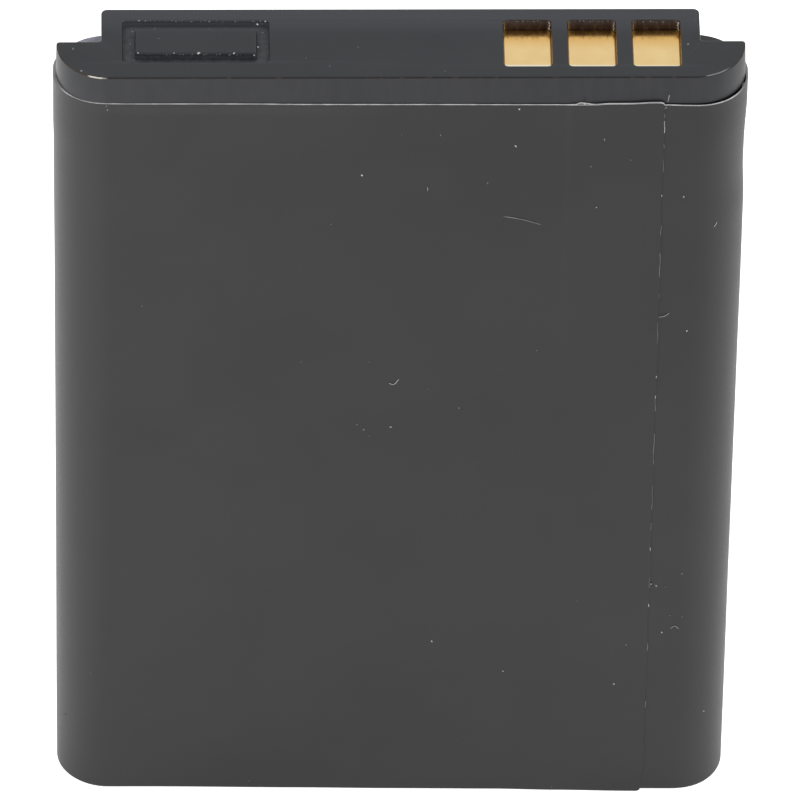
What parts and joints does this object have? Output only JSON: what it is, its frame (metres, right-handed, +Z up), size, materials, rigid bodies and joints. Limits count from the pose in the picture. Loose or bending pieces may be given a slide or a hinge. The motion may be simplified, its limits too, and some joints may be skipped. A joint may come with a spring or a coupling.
{
  "type": "mobile phone battery",
  "caption": "Flat round-sided lithium-ion battery pack with a moulded contact cap, recessed gold contacts, keyed corners and a dark wrapped film.",
  "frame": {"origin": "middle of the flat base, on the surface that the battery stands on", "axes": "+Z up the height to the contact end, +X across the width towards the contacts, +Y through the thickness from the seam face to the keyed rear face"},
  "size_m": [0.0342, 0.0055, 0.0488],
  "materials": {
    "film": "dark grey matte film, fine-textured",
    "cap_plastic": "near-black moulded plastic, fine spark-eroded texture",
    "base_plastic": "black moulded plastic",
    "can_aluminium": "drawn, bare",
    "nickel": "rolled nickel strip",
    "contact_gold": "gold plate over nickel, satin",
    "board_laminate": "green solder mask",
    "chip_moulding": "black moulding compound",
    "resistor_ceramic": "dark glaze",
    "capacitor_ceramic": "tan, unglazed",
    "gasket_plastic": "natural, smooth",
    "fuse_moulding": "black moulding",
    "insulation_paper": "dense calendered paper",
    "tape_foam": "double-sided tissue tape"
  },
  "bodies": {
    "root": {"label_wrap": "film", "top_cap": "cap_plastic", "bottom_cap": "base_plastic", "bottom_tape": "tape_foam", "left_cap_tape": "tape_foam", "right_cap_tape": "tape_foam", "cell": "can_aluminium", "terminal_gasket": "gasket_plastic", "negative_terminal": "nickel", "filling_plug": "can_aluminium", "clad_plate": "nickel", "insulating_paper": "insulation_paper", "thermal_fuse": "fuse_moulding", "fuse_lead": "nickel", "negative_lead": "nickel", "positive_lead": "nickel", "circuit_board": "board_laminate", "positive_contact": "contact_gold", "middle_contact": "contact_gold", "negative_contact": "contact_gold", "protection_chip": "chip_moulding", "switch_chip": "chip_moulding", "supply_resistor": "resistor_ceramic", "sense_resistor": "resistor_ceramic", "code_resistor": "resistor_ceramic", "supply_capacitor": "capacitor_ceramic", "filter_capacitor": "capacitor_ceramic"}
  },
  "joints": []
}
